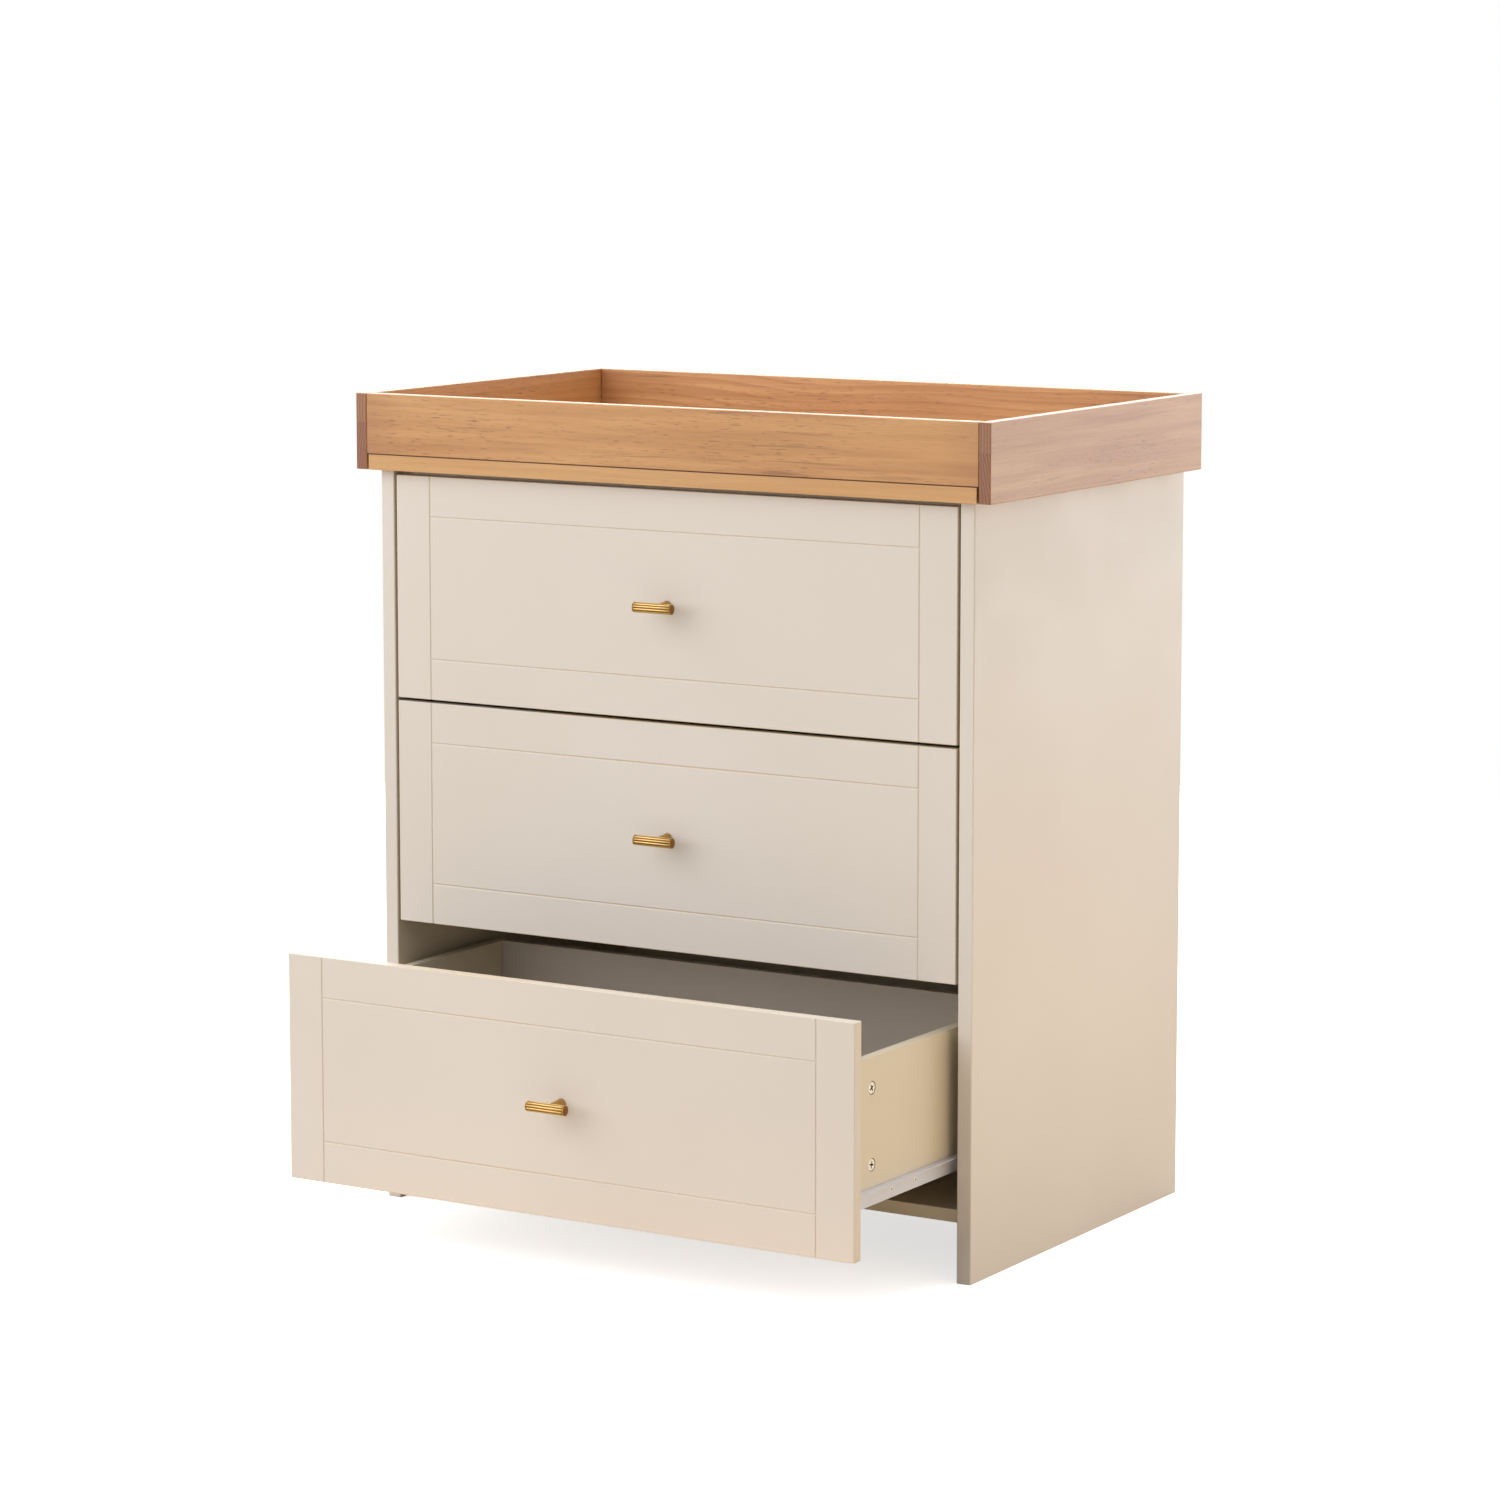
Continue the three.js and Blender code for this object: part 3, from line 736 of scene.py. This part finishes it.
def cross_drive(place, arm, face, depth):
    """Two crossed, tapered arms that are cut out of a head to leave its drive."""
    mesh = bmesh.new()
    half_width = arm * DRIVE_WIDTH
    corners = [(-arm, -half_width), (arm, -half_width), (arm, half_width), (-arm, half_width)]
    for turn in (0.0, math.pi / 2):
        spin = place @ Matrix.Rotation(turn, 4, "Z")
        mouth_points = [(x, y, face + DRIVE_OVERCUT) for x, y in corners]
        root_points = [(x * DRIVE_TAPER, y, face - depth) for x, y in corners]
        mouth = [mesh.verts.new(spin @ Vector(point)) for point in mouth_points]
        root = [mesh.verts.new(spin @ Vector(point)) for point in root_points]
        mesh.faces.new(mouth)
        mesh.faces.new(list(reversed(root)))
        for side in range(4):
            after = (side + 1) % 4
            mesh.faces.new((mouth[side], root[side], root[after], mouth[after]))
    bmesh.ops.recalc_face_normals(mesh, faces=mesh.faces)
    data = bpy.data.meshes.new("drive")
    mesh.to_mesh(data)
    mesh.free()
    # The cut faces take the near-black painted shade of the recess.
    data.materials.append(shaded_recess)
    cutter = bpy.data.objects.new("drive", data)
    bpy.context.scene.collection.objects.link(cutter)
    return cutter


def fastener(name, centre, normal, profile, arm, depth, body, turn=0.0):
    """A turned head with a sunk cross drive; profile heights run from centre along normal."""
    place = Matrix.Translation(centre) @ normal.to_track_quat("Z", "Y").to_matrix().to_4x4()
    place = place @ Matrix.Rotation(turn, 4, "Z")
    mesh = bmesh.new()
    lathe(mesh, profile, HEAD_SIDES, place)
    head = new_piece(name, mesh, body, [zinc, shaded_recess])
    cutter = cross_drive(place, arm, profile[-1][1], depth)
    sink = head.modifiers.new("drive", "BOOLEAN")
    sink.operation = "DIFFERENCE"
    sink.solver = "EXACT"
    sink.material_mode = "TRANSFER"
    sink.use_self = True
    sink.object = cutter
    graph = bpy.context.evaluated_depsgraph_get()
    finished = bpy.data.meshes.new_from_object(head.evaluated_get(graph))
    head.modifiers.clear()
    head.data = finished
    bpy.data.objects.remove(cutter)


def cam_profile():
    """The flat, chamfered face of a cam lock, lying just under the board's surface."""
    return [
        (0, -CAM_HEIGHT), (CAM_RADIUS, -CAM_HEIGHT), (CAM_RADIUS, -CAM_SUNK - CAM_CHAMFER),
        (CAM_RADIUS - CAM_CHAMFER, -CAM_SUNK), (0, -CAM_SUNK),
    ]


def pan_profile(radius, proud, root):
    """A low pan head that stands proud of the surface."""
    return [
        (0, -root), (radius, -root), (radius, proud * 0.35), (radius * 0.94, proud * 0.65),
        (radius * 0.8, proud * 0.86), (radius * 0.5, proud * 0.97), (0, proud),
    ]


def drawer_fasteners(drawer):
    """Two cam locks and three runner screws on each side, and the knob's screw inside."""
    body = f"{drawer}_drawer"
    front_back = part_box(f"{drawer}_drawer_front")[1].y
    runner_head = pan_profile(SCREW_RADIUS, SCREW_PROUD, SCREW_ROOT)
    for side_name, side in SIDES.items():
        low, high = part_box(f"{drawer}_drawer_{side_name}_side")
        outer = high.x if side > 0 else low.x
        runner_low, runner_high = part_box(f"{drawer}_{side_name}_drawer_runner")
        outwards = Vector((side, 0, 0))
        heights = (high.z - CAM_BELOW_TOP, runner_high.z + CAM_ABOVE_RUNNER)
        for index, height in enumerate(heights):
            spot = Vector((outer, front_back + CAM_FROM_FRONT, height))
            fastener(
                f"{drawer}_{side_name}_cam_{index + 1}", spot, outwards, cam_profile(),
                CAM_DRIVE, CAM_DRIVE_DEPTH, body, turn=NEXT_TURN * index + FIRST_CAM_TURN,
            )
        web = outer + side * RUNNER_WEB
        for index, behind in enumerate(RUNNER_SCREWS):
            spot = Vector((web, front_back + behind, (runner_low.z + runner_high.z) / 2))
            fastener(
                f"{drawer}_{side_name}_runner_screw_{index + 1}", spot, outwards, runner_head,
                SCREW_DRIVE, SCREW_DRIVE_DEPTH, body, turn=NEXT_TURN * index + FIRST_SCREW_TURN,
            )
    knob_low, knob_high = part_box(f"{drawer}_knob_post")
    spot = Vector((0, front_back, (knob_low.z + knob_high.z) / 2))
    knob_head = pan_profile(KNOB_SCREW_RADIUS, KNOB_SCREW_PROUD, 0.0)
    fastener(
        f"{drawer}_knob_screw", spot, Vector((0, 1, 0)), knob_head,
        KNOB_DRIVE, KNOB_DRIVE_DEPTH, body,
    )


# ---- Studio ----

def direction(azimuth, elevation):
    """The unit vector that points away from the object at these angles."""
    turn = math.radians(azimuth)
    rise = math.radians(elevation)
    return Vector((
        math.sin(turn) * math.cos(rise),
        -math.cos(turn) * math.cos(rise),
        math.sin(rise),
    ))


def add_camera():
    """The viewpoint: to the object's front right, a little above its top."""
    away = direction(CAMERA_AZIMUTH, CAMERA_ELEVATION)
    data = bpy.data.cameras.new("camera")
    data.lens = CAMERA_LENS
    data.sensor_width = SENSOR_WIDTH
    data.shift_y = CAMERA_SHIFT
    data.clip_end = CLIP_END
    camera = bpy.data.objects.new("camera", data)
    camera.location = Vector(CAMERA_TARGET) + away * CAMERA_DISTANCE
    camera.rotation_mode = "QUATERNION"
    camera.rotation_quaternion = (-away).to_track_quat("-Z", "Y")
    bpy.context.scene.collection.objects.link(camera)
    bpy.context.scene.camera = camera


def add_area_light(name, location, facing, size, strength, colour=(1, 1, 1)):
    """A rectangular light that the camera does not see."""
    data = bpy.data.lights.new(name, "AREA")
    data.shape = "RECTANGLE"
    data.size, data.size_y = size
    data.energy = strength
    data.color = colour
    light = bpy.data.objects.new(name, data)
    light.location = location
    light.rotation_mode = "QUATERNION"
    light.rotation_quaternion = facing.to_track_quat("-Z", "Y")
    light.visible_camera = False
    bpy.context.scene.collection.objects.link(light)


def add_soft_box(name, azimuth, elevation, distance, size, strength, colour=(1, 1, 1)):
    """An area light aimed at the middle of the object."""
    away = direction(azimuth, elevation)
    location = Vector(LIGHT_TARGET) + away * distance
    add_area_light(name, location, -away, size, strength, colour)


def seen_by_camera(tree, seen, unseen):
    """A node output that is one value on camera rays and another on all others."""
    path = tree.nodes.new("ShaderNodeLightPath")
    pick = tree.nodes.new("ShaderNodeMix")
    pick.data_type = "RGBA"
    tree.links.new(path.outputs["Is Camera Ray"], pick.inputs["Factor"])
    pick.inputs["A"].default_value = unseen
    pick.inputs["B"].default_value = seen
    return pick.outputs["Result"]


def add_backdrop():
    """White all round; only part of it lights the object."""
    world = bpy.data.worlds.new("studio")
    world.use_nodes = True
    tree = world.node_tree
    colour = seen_by_camera(tree, WHITE, BACKDROP_LIGHT)
    tree.links.new(colour, tree.nodes["Background"].inputs["Color"])
    bpy.context.scene.world = world


def add_floor():
    """A wide white floor that throws a weaker, warmer light back than it shows."""
    mesh = bmesh.new()
    bmesh.ops.create_circle(mesh, cap_ends=True, segments=FLOOR_SIDES, radius=FLOOR_RADIUS)
    data = bpy.data.meshes.new("floor")
    mesh.to_mesh(data)
    mesh.free()
    nodes = Nodes("floor_white")
    shown = seen_by_camera(nodes.tree, FLOOR_SHOWN, FLOOR_BOUNCE)
    glow = seen_by_camera(nodes.tree, FLOOR_GLOW, BLACK)
    drift = nodes.span(nodes.noise(nodes.coordinates(), 0.8), 0.0, 0.04, 0.3, 0.7)
    nodes.surface(
        Base_Color=nodes.mix(drift, shown, FLOOR_DRIFT), Roughness=0.9, Specular_IOR_Level=0.0,
        Emission_Color=glow, Emission_Strength=1.0,
    )
    data.materials.append(nodes.material)
    floor = bpy.data.objects.new("floor", data)
    bpy.context.scene.collection.objects.link(floor)


def add_studio():
    """Soft boxes take their azimuth, elevation, distance, size and power (degrees, m, W)."""
    add_backdrop()
    add_floor()
    add_soft_box("key", -40, 28, 6.0, (9.0, 6.0), 372)
    add_soft_box("rear_right", 148, 10, 4.5, (4.0, 2.6), 76)
    add_soft_box("right_low", 88, -14, 1.35, (1.3, 0.3), 2.6, WARM_LIGHT)
    under_drawer = Vector((0.06, -0.40, 0.005))
    add_area_light("under_drawer", under_drawer, Vector((0, 0, 1)), (0.8, 0.16), 0.2, AMBER_LIGHT)
    add_soft_box("backlight", 205, 14, 5.5, (6.0, 2.4), 130)
    add_soft_box("overhead", 180, 80, 4.0, (3.0, 2.0), 140)
    bpy.context.scene.view_settings.view_transform = "Standard"


finish_wood()
finish_boards()
finish_runners()
for drawer_name in DRAWERS:
    knob_bar(drawer_name)
    knob_post(drawer_name)
    drawer_fasteners(drawer_name)
add_camera()
add_studio()
